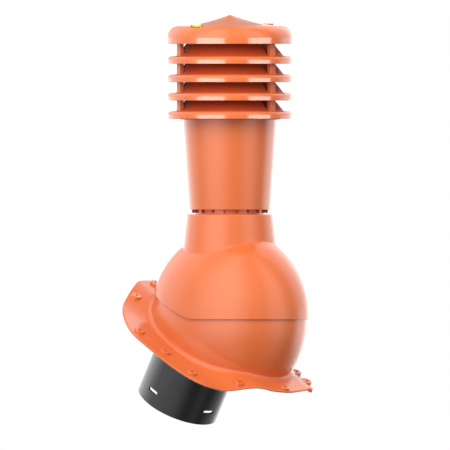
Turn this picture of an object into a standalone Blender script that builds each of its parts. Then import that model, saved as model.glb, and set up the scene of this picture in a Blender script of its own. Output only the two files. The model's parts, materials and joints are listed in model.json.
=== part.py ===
# Roof ventilation outlet: a louvred and capped pipe on a ball hood, which tilts on a base
# that is shaped to a waved metal tile. A duct spigot hangs through the roof below.
#
# Metres, +Z up, +X down the roof slope. The origin is where the pipe's axis meets the
# underside of the base flange's valley. Sizes marked "above the ball" are measured up the
# pipe's axis from the centre of the ball, and those of the base from the same centre at
# right angles to the roof.

import math

import bmesh
import bpy
from mathutils import Matrix, Vector

# Fits and facets
CLEARANCE = 0.0003
BALL_GAP = 0.0006
PIPE_STEPS = 24
BALL_STEPS = 40
BALL_RINGS = 12
BOSS_STEPS = 8
HOLE_STEPS = 6

# Roof and waved tile sheet
ROOF_PITCH = math.radians(30.6)
CREST_DROP = 0.0265
WAVE_HEIGHT = 0.018
CREST_HALF_WIDTH = 0.041
VALLEY_HALF_WIDTH = 0.1025
SHEET = 0.003

# Base flange: how far its edge stands out from the drum on each side
RIDGE_MARGIN = 0.0292
EAVE_MARGIN = 0.0337
PAN_MARGIN = 0.0485
FAR_MARGIN = 0.0075

# Ball drum of the base
BALL_RADIUS = 0.1288
BALL_HALF_WIDTH = 0.0985
DRUM_FOOT_SHRINK = 0.0019
DRUM_FOOT_SIDE_SHRINK = 0.0003
DRUM_WALL = 0.003
MOUTH_HEIGHT = 0.073
MOUTH_LEAN = math.radians(21.0)
BEAD_WIDTH = 0.0022
BEAD_HEIGHT = 0.0020

# Screw bosses
BOSS_RADIUS = 0.0079
BOSS_HEIGHT = 0.0032
SCREW_HOLE_RADIUS = 0.0022

# Duct spigot and the sleeve that holds it
SPIGOT_RADIUS = 0.0625
SPIGOT_WALL = 0.003
SPIGOT_LENGTH = 0.1410
SPIGOT_UPSLOPE = 0.0316
SPIGOT_RIM = 0.0035
SPIGOT_RIM_THICKNESS = 0.003
SLOT_LENGTH = 0.0180
SLOT_HEIGHT = 0.0050
SLOT_RISE = 0.0215
SLEEVE_WALL = 0.0032
SLEEVE_DROP = 0.020
SLEEVE_RISE = 0.006

# Hood
HOOD_WALL = 0.0026
RIM_SLOPE = math.radians(21.8)
RIM_KINK = 0.0146
RIM_KINK_RADIUS = 0.091
COLLAR_TOP = 0.1539
COLLAR_TOP_RADIUS = 0.0631
COLLAR_TAPER = math.radians(6.5)
COLLAR_WALL = 0.003
COLLAR_ROUND = 0.0022
SOCKET_DEPTH = 0.024
SOCKET_WALL = 0.0025
SOCKET_LEDGE = 0.0035

# Outer pipe
NECK_RADIUS = 0.0515
NECK_SHOW = 0.0068
PIPE_WALL = 0.003
PIPE_FOOT_RADIUS = 0.0599
PIPE_HEAD_RADIUS = 0.0690
PIPE_LENGTH = 0.1316
PIPE_EDGE = 0.0006
HEAD_PLATE_RADIUS = 0.0735
HEAD_PLATE = 0.0015
RIB_COUNT = 18
RIB_RADIUS = 0.0555
RIB_THICKNESS = 0.0018
RIB_HEIGHT = 0.0047
LUG_RISE = 0.0085
LUG_HEIGHT = 0.0070

# Louvre rings and their posts
RING_COUNT = 4
RING_PITCH = 0.02687
RING_RADIUS = 0.0922
RING_WALL = 0.0025
RING_LIP = 0.0050
RING_ROUND = 0.0064
SKIRT_FOOT_RADIUS = 0.0788
SKIRT_RISE = 0.0200
SKIRT_SLOPE = math.radians(50.2)
SKIRT_WALL = 0.002
SKIRT_GAP = math.radians(13.0)
POST_RADIUS = 0.0780
POST_WIDTH = 0.0120
POST_DEPTH = 0.0062
POST_COUNT = 3
POST_ANGLE = math.radians(7.2)

# Rain cap
CAP_RADIUS = 0.0933
CAP_WALL = 0.003
CAP_LIP = 0.0060
CAP_LIP_DROP = 0.0066
SHOULDER_WIDTH = 0.0164
SHOULDER_HEIGHT = 0.0202
CONE_RISE = 0.0164
CONE_POWER = 1.75
SHOULDER_STEPS = 4
CONE_STEPS = 4

# Spirit levels and their seats
VIAL_LENGTH = 0.0146
VIAL_THICKNESS = 0.0046
VIAL_ROUND = 0.0014
VIAL_CENTRE_RADIUS = 0.0790
VIAL_ANGLES = {"left": math.radians(-81.0), "right": math.radians(93.0)}
SEAT_LENGTH = 0.0200
SEAT_WIDTH = 0.0080
SEAT_TOP = 0.0016
SEAT_FLOOR = 0.0022
SEAT_END = 0.0022

# Places that follow from the sizes above
BALL_CENTRE = Vector((0, 0, (CREST_DROP + WAVE_HEIGHT + SHEET) / math.cos(ROOF_PITCH)))
PIPE_FRAME = Matrix.Translation(BALL_CENTRE)
ROOF_FRAME = PIPE_FRAME @ Matrix.Rotation(ROOF_PITCH, 4, "Y")
NECK_FOOT = COLLAR_TOP - SOCKET_DEPTH + CLEARANCE
PIPE_FOOT = COLLAR_TOP + NECK_SHOW
PIPE_HEAD = PIPE_FOOT + PIPE_LENGTH
RING_SEAT = PIPE_HEAD + HEAD_PLATE + LUG_RISE
RING_PLATE = RING_LIP + RING_ROUND - RING_WALL
CAP_POST_FOOT = RING_SEAT + CLEARANCE + RING_COUNT * RING_PITCH
CAP_FOOT = CAP_POST_FOOT - CAP_LIP_DROP
CAP_SHOULDER = CAP_LIP + SHOULDER_HEIGHT
FAR_AWAY = 0.4

PLASTIC = {"color": (0.64, 0.135, 0.052, 1), "roughness": 0.30}
DUCT_PLASTIC = {"color": (0.025, 0.025, 0.027, 1), "roughness": 0.42}
VIAL_PLASTIC = {"color": (0.62, 0.80, 0.10, 1), "roughness": 0.10}


def new_collection(name):
    collection = bpy.data.collections.new(name)
    bpy.context.scene.collection.children.link(collection)
    return collection


for old in list(bpy.data.objects):
    bpy.data.objects.remove(old, do_unlink=True)
PARTS = new_collection("roof_vent_pipe")
CUTTERS = new_collection("construction")


def make_material(name, color, roughness):
    material = bpy.data.materials.new(name)
    material.use_nodes = True
    shader = material.node_tree.nodes["Principled BSDF"]
    shader.inputs["Base Color"].default_value = color
    shader.inputs["Roughness"].default_value = roughness
    return material


def make_part(name, mesh, frame, look):
    """Add a visible sub-part with a material of its own."""
    part = bpy.data.objects.new(name, mesh)
    part.matrix_world = frame
    part.data.materials.append(make_material(name, **look))
    PARTS.objects.link(part)
    return part


def make_helper(name, mesh, frame):
    """Add a construction solid that is only used by Boolean modifiers."""
    helper = bpy.data.objects.new(name, mesh)
    helper.matrix_world = frame
    helper.hide_render = True
    helper.display_type = "WIRE"
    CUTTERS.objects.link(helper)
    return helper


def combine(target, operation, *others):
    for other in others:
        modifier = target.modifiers.new(other.name, "BOOLEAN")
        modifier.operation = operation
        modifier.solver = "EXACT"
        modifier.object = other


def add_turning(target):
    """Turn the object's profile, which runs down its outer side, into a solid."""
    screw = target.modifiers.new("Turn", "SCREW")
    screw.steps = PIPE_STEPS
    screw.render_steps = PIPE_STEPS
    screw.use_merge_vertices = True
    screw.merge_threshold = 0.00001
    screw.use_normal_calculate = False


def profile_mesh(name, points, closed):
    """A chain of (radius, height) points; a closed one is a ring's section."""
    mesh = bpy.data.meshes.new(name)
    count = len(points)
    edges = [(index, index + 1) for index in range(count - 1)]
    if closed:
        edges.append((count - 1, 0))
    mesh.from_pydata([(radius, 0, height) for radius, height in points], edges, [])
    return mesh


def turned_helper(name, points, frame):
    helper = make_helper(name, profile_mesh(name, points, False), frame)
    add_turning(helper)
    return helper


def cylinder_helper(name, radius, bottom, top, frame):
    side = [(0, top), (radius, top), (radius, bottom), (0, bottom)]
    return turned_helper(name, side, frame)


def pegs_mesh(name, pegs, steps):
    """Upright pegs that stay clear of each other: each is a radius, foot, top and place."""
    shape = bmesh.new()
    for radius, foot, top, place in pegs:
        centre = Matrix.Translation((*place, (foot + top) / 2))
        bmesh.ops.create_cone(shape, cap_ends=True, segments=steps, radius1=radius, radius2=radius,
                              depth=top - foot, matrix=centre)
    mesh = bpy.data.meshes.new(name)
    shape.to_mesh(mesh)
    shape.free()
    return mesh


def box_mesh(name, boxes):
    """Boxes that stay clear of each other: each is a size and the frame it stands in."""
    shape = bmesh.new()
    for size, frame in boxes:
        scale = Matrix.Diagonal((*size, 1))
        bmesh.ops.create_cube(shape, size=1, matrix=frame @ scale)
    mesh = bpy.data.meshes.new(name)
    shape.to_mesh(mesh)
    shape.free()
    return mesh


def ellipsoid_mesh(name, radius, half_width):
    """A ball that is round about the Y axis."""
    shape = bmesh.new()
    bmesh.ops.create_uvsphere(shape, u_segments=BALL_STEPS, v_segments=BALL_RINGS, radius=1)
    upright = Matrix.Rotation(math.radians(90), 4, "X")
    squash = Matrix.Diagonal((radius, half_width, radius, 1))
    bmesh.ops.transform(shape, matrix=squash @ upright, verts=shape.verts)
    mesh = bpy.data.meshes.new(name)
    shape.to_mesh(mesh)
    shape.free()
    return mesh


def outline_mesh(name, points, depth, smooth=False):
    """A flat outline in X and Y, made as deep as given, half above and half below."""
    curve = bpy.data.curves.new(name, "CURVE")
    curve.dimensions = "2D"
    curve.fill_mode = "BOTH"
    curve.extrude = depth / 2
    if smooth:
        curve.resolution_u = 3
        spline = curve.splines.new("BEZIER")
        spline.bezier_points.add(len(points) - 1)
        for knot, point in zip(spline.bezier_points, points):
            knot.co = (*point, 0)
            knot.handle_left_type = "AUTO"
            knot.handle_right_type = "AUTO"
    else:
        spline = curve.splines.new("POLY")
        spline.points.add(len(points) - 1)
        for knot, point in zip(spline.points, points):
            knot.co = (*point, 0, 1)
    spline.use_cyclic_u = True
    drawn = bpy.data.objects.new(name, curve)
    CUTTERS.objects.link(drawn)
    bpy.context.view_layer.update()
    evaluated = drawn.evaluated_get(bpy.context.evaluated_depsgraph_get())
    mesh = bpy.data.meshes.new_from_object(evaluated)
    bpy.data.objects.remove(drawn, do_unlink=True)
    shape = bmesh.new()
    shape.from_mesh(mesh)
    bmesh.ops.remove_doubles(shape, verts=shape.verts, dist=0.00001)
    bmesh.ops.recalc_face_normals(shape, faces=shape.faces)
    shape.to_mesh(mesh)
    shape.free()
    return mesh


def quarter_round(centre_radius, centre_height, width, height, steps):
    """Points down an outer shoulder, from its crown to its widest level."""
    points = []
    for step in range(steps + 1):
        turn = math.radians(90) * step / steps
        points.append((centre_radius + width * math.sin(turn), centre_height + height * math.cos(turn)))
    return points


def round_shading(part):
    part.data.shade_smooth()
    part.data.set_sharp_from_angle(angle=math.radians(35))


def around_axis(angle, radius=0.0, height=0.0):
    """A frame turned about the pipe's axis, with its own X pointing away from it."""
    return Matrix.Rotation(angle, 4, "Z") @ Matrix.Translation((radius, 0, height))


def post_angles():
    return [POST_ANGLE + math.tau * index / POST_COUNT for index in range(POST_COUNT)]


# Waved sheet of the base


def wave_level(across):
    """Height of the sheet's top face over the ball's centre, at a distance across the slope."""
    run = (abs(across) - CREST_HALF_WIDTH) / (VALLEY_HALF_WIDTH - CREST_HALF_WIDTH)
    run = min(max(run, 0), 1)
    return -CREST_DROP - WAVE_HEIGHT * run * run * (3 - 2 * run)


def wave_line():
    """Places across the slope where the sheet's section has a corner."""
    steps = 4
    slope = [
        CREST_HALF_WIDTH + (VALLEY_HALF_WIDTH - CREST_HALF_WIDTH) * step / steps
        for step in range(steps + 1)
    ]
    edge = VALLEY_HALF_WIDTH + BALL_HALF_WIDTH + PAN_MARGIN
    half = slope + [edge]
    return [-place for place in reversed(half)] + half


SECTION_FRAME = ROOF_FRAME @ Matrix(((0, 0, 1, 0), (1, 0, 0, 0), (0, 1, 0, 0), (0, 0, 0, 1)))


def wave_solid(name, bottom_offset, top_offset):
    """The waved section between two offsets from the sheet's top face, run down the slope."""
    line = wave_line()
    lower = [(across, wave_level(across) + bottom_offset) for across in line]
    if top_offset is None:
        upper = [(line[-1], FAR_AWAY / 2), (line[0], FAR_AWAY / 2)]
    else:
        upper = [(across, wave_level(across) + top_offset) for across in reversed(line)]
    return outline_mesh(name, lower + upper, 2 * FAR_AWAY)


def on_flange(down, across):
    """A place on the flange, as shares of its reach: eave +1, ridge -1, far +1, pan -1."""
    reach_down = BALL_RADIUS + (EAVE_MARGIN if down > 0 else RIDGE_MARGIN)
    reach_across = BALL_HALF_WIDTH + (FAR_MARGIN if across > 0 else PAN_MARGIN)
    return (down * reach_down, across * reach_across)


def flange_outline():
    """The flange's edge in the roof plane: a wide pan on the near side, narrow beyond."""
    shares = [
        (-1.0, -0.21), (-0.92, -0.415), (-0.74, -0.667), (-0.525, -0.85), (-0.266, -0.98),
        (-0.025, -1.0), (0.34, -0.98), (0.554, -0.925), (0.708, -0.81), (0.794, -0.633),
        (0.865, -0.452), (0.938, -0.279), (0.978, -0.19), (1.0, 0.0), (0.975, 0.264),
        (0.932, 0.443), (0.843, 0.604), (0.775, 0.684), (0.64, 0.76), (0.46, 0.85),
        (0.215, 0.97), (-0.03, 1.0), (-0.316, 0.943), (-0.582, 0.792), (-0.81, 0.566),
        (-0.943, 0.236),
    ]
    return [on_flange(*share) for share in shares]


def boss_places():
    """Screw bosses all round the flange."""
    shares = [
        (-0.921, -0.119), (-0.785, -0.48), (-0.253, -0.878), (0.117, -0.857), (0.486, -0.827),
        (0.7735, -0.468), (0.9385, -0.02), (0.737, 0.69), (0.548, 0.745), (-0.78, 0.44),
    ]
    return [on_flange(*share) for share in shares]


def drum_foot(name, growth):
    """The drum's straight lower wall, which drops from the ball's middle to the sheet."""
    shape = bmesh.new()
    half_length = BALL_RADIUS - DRUM_FOOT_SHRINK + growth
    half_width = BALL_HALF_WIDTH - DRUM_FOOT_SIDE_SHRINK + growth
    depth = CREST_DROP + WAVE_HEIGHT + SHEET
    squash = Matrix.Diagonal((half_length, half_width, 1, 1))
    bmesh.ops.create_cone(shape, cap_ends=True, segments=BALL_STEPS, radius1=1, radius2=1, depth=depth,
                          matrix=Matrix.Translation((0, 0, -depth / 2)) @ squash)
    mesh = bpy.data.meshes.new(name)
    shape.to_mesh(mesh)
    shape.free()
    return make_helper(name, mesh, ROOF_FRAME)


def build_base():
    base = make_part("base", wave_solid("base", -SHEET, 0), SECTION_FRAME, PLASTIC)
    edge_mesh = outline_mesh("flange_edge", flange_outline(), FAR_AWAY, True)
    combine(base, "INTERSECT", make_helper("flange_edge", edge_mesh, ROOF_FRAME))

    over_mesh = wave_solid("over_sheet", -SHEET / 2, None)
    over_sheet = make_helper("over_sheet", over_mesh, SECTION_FRAME)
    pegs = []
    holes = []
    for place in boss_places():
        across = abs(place[1])
        top = wave_level(across) + BOSS_HEIGHT
        foot = wave_level(across + BOSS_RADIUS) - SHEET
        pegs.append((BOSS_RADIUS, foot, top, place))
        holes.append((SCREW_HOLE_RADIUS, foot - WAVE_HEIGHT, top + SHEET, place))
    bosses = make_helper("bosses", pegs_mesh("bosses", pegs, BOSS_STEPS), ROOF_FRAME)
    combine(bosses, "INTERSECT", over_sheet)
    combine(base, "UNION", bosses)
    hole_mesh = pegs_mesh("screw_holes", holes, HOLE_STEPS)
    combine(base, "DIFFERENCE", make_helper("screw_holes", hole_mesh, ROOF_FRAME))

    band_mesh = wave_solid("bead_band", -SHEET / 2, BEAD_HEIGHT)
    bead_band = make_helper("bead_band", band_mesh, SECTION_FRAME)
    bead = drum_foot("bead", BEAD_WIDTH)
    combine(bead, "INTERSECT", bead_band)

    drum_mesh = ellipsoid_mesh("drum", BALL_RADIUS, BALL_HALF_WIDTH)
    drum = make_helper("drum", drum_mesh, ROOF_FRAME)
    combine(drum, "UNION", drum_foot("drum_foot", 0))
    combine(drum, "INTERSECT", over_sheet)

    floor_mesh = wave_solid("over_floor", 0, None)
    over_floor = make_helper("over_floor", floor_mesh, SECTION_FRAME)
    hollow_mesh = ellipsoid_mesh("hollow", BALL_RADIUS - DRUM_WALL, BALL_HALF_WIDTH - DRUM_WALL)
    hollow = make_helper("hollow", hollow_mesh, ROOF_FRAME)
    combine(hollow, "UNION", drum_foot("hollow_foot", -DRUM_WALL))
    combine(hollow, "INTERSECT", over_floor)

    mouth_frame = PIPE_FRAME @ Matrix.Rotation(MOUTH_LEAN, 4, "Y")
    mouth_place = Matrix.Translation((0, 0, MOUTH_HEIGHT + FAR_AWAY / 2))
    mouth_size = (FAR_AWAY, FAR_AWAY, FAR_AWAY)
    mouth = make_helper("mouth", box_mesh("mouth", [(mouth_size, mouth_place)]), mouth_frame)

    sleeve_frame = ROOF_FRAME @ Matrix.Translation((-SPIGOT_UPSLOPE, 0, 0))
    sleeve_bore = SPIGOT_RADIUS + CLEARANCE
    sleeve_top = -CREST_DROP + SLEEVE_RISE
    sleeve_foot = -CREST_DROP - WAVE_HEIGHT - SHEET - SLEEVE_DROP
    sleeve_radius = sleeve_bore + SLEEVE_WALL
    sleeve = cylinder_helper("sleeve", sleeve_radius, sleeve_foot, sleeve_top, sleeve_frame)
    bore_foot = sleeve_foot - SHEET
    bore = cylinder_helper("sleeve_bore", sleeve_bore, bore_foot, sleeve_top + SHEET, sleeve_frame)

    combine(base, "UNION", bead, drum)
    combine(base, "DIFFERENCE", hollow, mouth)
    combine(base, "UNION", sleeve)
    combine(base, "DIFFERENCE", bore)
    round_shading(base)


def build_spigot():
    top = -CREST_DROP + SLEEVE_RISE + CLEARANCE
    foot = top - SPIGOT_LENGTH
    rim_top = top + SPIGOT_RIM_THICKNESS
    rim = SPIGOT_RADIUS + SPIGOT_RIM
    inner = SPIGOT_RADIUS - SPIGOT_WALL
    section = [
        (inner, rim_top), (rim, rim_top), (rim, top), (SPIGOT_RADIUS, top),
        (SPIGOT_RADIUS, foot), (inner, foot),
    ]
    frame = ROOF_FRAME @ Matrix.Translation((-SPIGOT_UPSLOPE, 0, 0))
    spigot = make_part("spigot", profile_mesh("spigot", section, True), frame, DUCT_PLASTIC)
    add_turning(spigot)
    place = Matrix.Translation((0, 0, foot + SLOT_RISE))
    across = Matrix.Rotation(math.radians(90), 4, "Z")
    slot = (2 * SPIGOT_RADIUS + SPIGOT_WALL, SLOT_LENGTH, SLOT_HEIGHT)
    for index, turn in enumerate((Matrix.Identity(4), across)):
        name = "slots_%d" % index
        slots = box_mesh(name, [(slot, place @ turn)])
        combine(spigot, "DIFFERENCE", make_helper(name, slots, frame))
    round_shading(spigot)


def collar_radius(height):
    return COLLAR_TOP_RADIUS + (COLLAR_TOP - height) * math.tan(COLLAR_TAPER)


def build_hood():
    outer = BALL_RADIUS + BALL_GAP + HOOD_WALL
    outer_half = BALL_HALF_WIDTH + BALL_GAP + HOOD_WALL
    hood = make_part("hood", ellipsoid_mesh("hood", outer, outer_half), PIPE_FRAME, PLASTIC)

    collar_foot = 0.75 * outer_half
    collar = [(0, COLLAR_TOP)]
    collar += quarter_round(COLLAR_TOP_RADIUS - COLLAR_ROUND, COLLAR_TOP - COLLAR_ROUND,
                            COLLAR_ROUND, COLLAR_ROUND, 2)
    collar += [(collar_radius(collar_foot), collar_foot), (0, collar_foot)]
    combine(hood, "UNION", turned_helper("collar", collar, PIPE_FRAME))

    inside_mesh = ellipsoid_mesh("hood_inside", outer - HOOD_WALL, outer_half - HOOD_WALL)
    inside = make_helper("hood_inside", inside_mesh, PIPE_FRAME)
    socket_bore = NECK_RADIUS + CLEARANCE
    socket_outer = socket_bore + SOCKET_WALL
    ledge_top = COLLAR_TOP - SOCKET_DEPTH
    ledge_foot = ledge_top - SOCKET_WALL
    bore_top = COLLAR_TOP - COLLAR_WALL
    bore_foot = collar_foot - 2 * HOOD_WALL
    ledge_bore = NECK_RADIUS - SOCKET_LEDGE
    bore = [
        (0, COLLAR_TOP + SHEET), (socket_bore, COLLAR_TOP + SHEET), (socket_bore, ledge_top),
        (ledge_bore, ledge_top), (ledge_bore, ledge_foot), (socket_outer, ledge_foot),
        (socket_outer, bore_top), (collar_radius(bore_top) - COLLAR_WALL, bore_top),
        (collar_radius(bore_foot) - COLLAR_WALL, bore_foot), (0, bore_foot),
    ]
    combine(hood, "DIFFERENCE", inside, turned_helper("collar_bore", bore, PIPE_FRAME))

    kink_run = RIM_KINK_RADIUS * math.tan(RIM_SLOPE / 2)
    below = [(FAR_AWAY, -FAR_AWAY), (FAR_AWAY, 0)]
    for step in range(5):
        turn = RIM_SLOPE * step / 4
        below.append((RIM_KINK + kink_run - RIM_KINK_RADIUS * math.sin(turn),
                      RIM_KINK_RADIUS * (1 - math.cos(turn))))
    below += [(-FAR_AWAY, (FAR_AWAY + RIM_KINK) * math.tan(RIM_SLOPE)), (-FAR_AWAY, -FAR_AWAY)]
    side_frame = PIPE_FRAME @ Matrix.Rotation(math.radians(90), 4, "X")
    below_rim = outline_mesh("rim_cut", below, FAR_AWAY)
    combine(hood, "DIFFERENCE", make_helper("rim_cut", below_rim, side_frame))
    round_shading(hood)


def build_pipe():
    neck_inner = NECK_RADIUS - PIPE_WALL
    head_inner = PIPE_HEAD_RADIUS - PIPE_WALL
    section = [
        (head_inner, RING_SEAT), (PIPE_HEAD_RADIUS, RING_SEAT),
        (PIPE_HEAD_RADIUS, PIPE_HEAD + HEAD_PLATE), (HEAD_PLATE_RADIUS, PIPE_HEAD + HEAD_PLATE),
        (HEAD_PLATE_RADIUS, PIPE_HEAD), (PIPE_HEAD_RADIUS, PIPE_HEAD),
        (PIPE_FOOT_RADIUS, PIPE_FOOT + PIPE_EDGE), (PIPE_FOOT_RADIUS - PIPE_EDGE, PIPE_FOOT),
        (NECK_RADIUS, PIPE_FOOT), (NECK_RADIUS, NECK_FOOT), (neck_inner, NECK_FOOT),
        (neck_inner, PIPE_FOOT + PIPE_WALL), (PIPE_FOOT_RADIUS - PIPE_WALL, PIPE_FOOT + PIPE_WALL),
        (head_inner, PIPE_HEAD),
    ]
    pipe = make_part("pipe", profile_mesh("pipe", section, True), PIPE_FRAME, PLASTIC)
    add_turning(pipe)

    ribs = []
    rib_depth = RIB_RADIUS - NECK_RADIUS + PIPE_WALL / 2
    rib_top = PIPE_FOOT + PIPE_WALL / 2
    rib_foot = PIPE_FOOT - RIB_HEIGHT
    rib_size = (rib_depth, RIB_THICKNESS, rib_top - rib_foot)
    for index in range(RIB_COUNT):
        angle = POST_ANGLE + math.tau * index / RIB_COUNT
        place = around_axis(angle, RIB_RADIUS - rib_depth / 2, (rib_top + rib_foot) / 2)
        ribs.append((rib_size, place))

    lugs = []
    lug_inner = PIPE_HEAD_RADIUS - PIPE_WALL / 2
    lug_outer = POST_RADIUS + POST_DEPTH / 2
    lug_size = (lug_outer - lug_inner, POST_WIDTH, LUG_HEIGHT)
    for angle in post_angles():
        place = around_axis(angle, (lug_outer + lug_inner) / 2, RING_SEAT - LUG_HEIGHT / 2)
        lugs.append((lug_size, place))
    combine(pipe, "UNION", make_helper("ribs", box_mesh("ribs", ribs), PIPE_FRAME))
    combine(pipe, "UNION", make_helper("lugs", box_mesh("lugs", lugs), PIPE_FRAME))
    round_shading(pipe)


def post_boxes(foot, top):
    size = (POST_DEPTH, POST_WIDTH, top - foot)
    return [(size, around_axis(angle, POST_RADIUS, (foot + top) / 2)) for angle in post_angles()]


def build_rings():
    plate_top = RING_PLATE + RING_WALL
    skirt_run = SKIRT_RISE / math.tan(SKIRT_SLOPE)
    skirt_in = SKIRT_WALL / math.sin(SKIRT_SLOPE)
    tip = (SKIRT_FOOT_RADIUS - skirt_run, plate_top + SKIRT_RISE)
    under_foot = SKIRT_FOOT_RADIUS - skirt_in + RING_WALL / math.tan(SKIRT_SLOPE)
    lip_inner = RING_RADIUS - RING_WALL
    round_centre = RING_RADIUS - RING_ROUND
    outer_round = quarter_round(round_centre, RING_LIP, RING_ROUND, RING_ROUND, 2)
    inner_size = RING_ROUND - RING_WALL
    inner_round = quarter_round(round_centre, RING_LIP, inner_size, inner_size, 1)
    section = [tip, (SKIRT_FOOT_RADIUS, plate_top), *outer_round]
    section += [(RING_RADIUS, 0), (lip_inner, 0), *reversed(inner_round)]
    section += [(under_foot, RING_PLATE), (tip[0] - skirt_in, tip[1])]

    post_top = RING_PLATE + RING_PITCH - CLEARANCE
    gap = 2 * (SKIRT_FOOT_RADIUS + POST_DEPTH / 2) * math.tan(SKIRT_GAP / 2)
    gap_size = (SKIRT_FOOT_RADIUS, gap, SKIRT_RISE + RING_WALL)
    gap_centre = SKIRT_FOOT_RADIUS / 2
    for index in range(RING_COUNT):
        height = RING_SEAT + CLEARANCE - RING_PLATE + index * RING_PITCH
        frame = PIPE_FRAME @ Matrix.Translation((0, 0, height))
        name = "louvre_ring_%d" % (index + 1)
        ring = make_part(name, profile_mesh(name, section, True), frame, PLASTIC)
        add_turning(ring)
        gaps = [
            (gap_size, around_axis(angle, gap_centre, plate_top + SKIRT_WALL + gap_size[2] / 2))
            for angle in post_angles()
        ]
        combine(ring, "DIFFERENCE", make_helper(name + "_gaps", box_mesh("gaps", gaps), frame))
        posts = post_boxes(RING_PLATE, post_top)
        combine(ring, "UNION", make_helper(name + "_posts", box_mesh("posts", posts), frame))
        round_shading(ring)


def cone_rise(radius):
    """Rise of the cap's hollow-sided cone over its shoulder."""
    crown = CAP_RADIUS - SHOULDER_WIDTH
    return CONE_RISE * max(0, 1 - radius / crown) ** CONE_POWER


def shoulder_level(radius, width, height):
    """Height of the cap's rounded shoulder over its foot."""
    crown = CAP_RADIUS - SHOULDER_WIDTH
    reach = min(max(radius - crown, 0) / width, 1)
    return CAP_LIP + height * math.sqrt(1 - reach * reach)


def build_cap():
    crown = CAP_RADIUS - SHOULDER_WIDTH
    inner_width = SHOULDER_WIDTH - CAP_WALL
    inner_height = SHOULDER_HEIGHT - CAP_WALL
    cone = [crown * step / CONE_STEPS for step in range(CONE_STEPS)]
    outline = [(radius, CAP_SHOULDER + cone_rise(radius)) for radius in cone]
    outline += quarter_round(crown, CAP_LIP, SHOULDER_WIDTH, SHOULDER_HEIGHT, SHOULDER_STEPS)
    outline += [(CAP_RADIUS, 0), (CAP_RADIUS - CAP_WALL, 0)]
    outline += reversed(quarter_round(crown, CAP_LIP, inner_width, inner_height, SHOULDER_STEPS - 1))
    outline += [(radius, CAP_SHOULDER - CAP_WALL + cone_rise(radius)) for radius in reversed(cone)]
    frame = PIPE_FRAME @ Matrix.Translation((0, 0, CAP_FOOT))
    cap = make_part("cap", profile_mesh("cap", outline, False), frame, PLASTIC)
    add_turning(cap)

    post_reach = math.hypot(POST_RADIUS + POST_DEPTH / 2, POST_WIDTH / 2)
    post_top = shoulder_level(post_reach, SHOULDER_WIDTH, SHOULDER_HEIGHT) - CAP_WALL / 2
    posts = make_helper("cap_posts", box_mesh("cap_posts", post_boxes(CAP_LIP_DROP, post_top)), frame)
    combine(cap, "UNION", posts)

    seat_level = shoulder_level(VIAL_CENTRE_RADIUS, SHOULDER_WIDTH, SHOULDER_HEIGHT)
    seat_top = seat_level + SEAT_TOP
    floor = seat_level - SEAT_FLOOR
    seat_foot = floor - CAP_WALL
    seats = []
    recesses = []
    for angle in VIAL_ANGLES.values():
        seat_size = (SEAT_WIDTH, SEAT_LENGTH, seat_top - seat_foot)
        seats.append((seat_size, around_axis(angle, VIAL_CENTRE_RADIUS, (seat_top + seat_foot) / 2)))
        recess_size = (SEAT_WIDTH + SEAT_END, SEAT_LENGTH - 2 * SEAT_END, 2 * (seat_top - floor))
        recesses.append((recess_size, around_axis(angle, VIAL_CENTRE_RADIUS + SEAT_END, seat_top)))
    combine(cap, "UNION", make_helper("seats", box_mesh("seats", seats), frame))
    combine(cap, "DIFFERENCE", make_helper("recesses", box_mesh("recesses", recesses), frame))
    round_shading(cap)

    vial_size = (VIAL_THICKNESS, VIAL_LENGTH, VIAL_THICKNESS)
    vial_level = floor + CLEARANCE + VIAL_THICKNESS / 2
    for side, angle in VIAL_ANGLES.items():
        name = "level_vial_" + side
        place = frame @ around_axis(angle, VIAL_CENTRE_RADIUS + SEAT_END / 2, vial_level)
        vial = make_part(name, box_mesh(name, [(vial_size, Matrix.Identity(4))]), place, VIAL_PLASTIC)
        bevel = vial.modifiers.new("Rounded", "BEVEL")
        bevel.width = VIAL_ROUND
        bevel.segments = 1


build_base()
build_spigot()
build_hood()
build_pipe()
build_rings()
build_cap()
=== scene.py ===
"""A roof vent pipe of brick-orange plastic: a ball hood that tilts on a waved roof flange, a
pipe with louvre rings and a rain cap, and a black duct spigot under the flange.

The script follows the vent from the roof up, then sets the floor, the lights and the camera.
Sizes are in metres, with +Z up the pipe and +X down the roof slope.
"""

import json
import math

import bmesh
import bpy
from mathutils import Matrix, Vector

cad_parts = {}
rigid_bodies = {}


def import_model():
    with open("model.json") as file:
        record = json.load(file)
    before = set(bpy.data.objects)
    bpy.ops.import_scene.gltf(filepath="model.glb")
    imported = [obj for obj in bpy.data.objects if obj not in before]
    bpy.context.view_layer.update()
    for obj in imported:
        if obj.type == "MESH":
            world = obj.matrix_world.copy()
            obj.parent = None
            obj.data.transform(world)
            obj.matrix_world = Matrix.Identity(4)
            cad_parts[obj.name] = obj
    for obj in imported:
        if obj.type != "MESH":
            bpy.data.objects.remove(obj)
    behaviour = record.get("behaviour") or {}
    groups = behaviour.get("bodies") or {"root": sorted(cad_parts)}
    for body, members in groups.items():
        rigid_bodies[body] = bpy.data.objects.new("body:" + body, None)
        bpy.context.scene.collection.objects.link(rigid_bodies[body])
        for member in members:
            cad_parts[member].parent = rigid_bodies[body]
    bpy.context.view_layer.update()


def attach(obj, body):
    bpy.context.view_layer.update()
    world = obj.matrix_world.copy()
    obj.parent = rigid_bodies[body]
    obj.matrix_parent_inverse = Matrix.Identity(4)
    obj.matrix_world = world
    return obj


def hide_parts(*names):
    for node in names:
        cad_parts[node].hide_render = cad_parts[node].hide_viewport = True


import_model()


# Flange and ball drum
#
# One injection-moulded piece of brick-orange plastic. The waved sheet follows the roof tile,
# and the hollow ball rises from it through a small bead. Screws hold it down to the roof.

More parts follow.
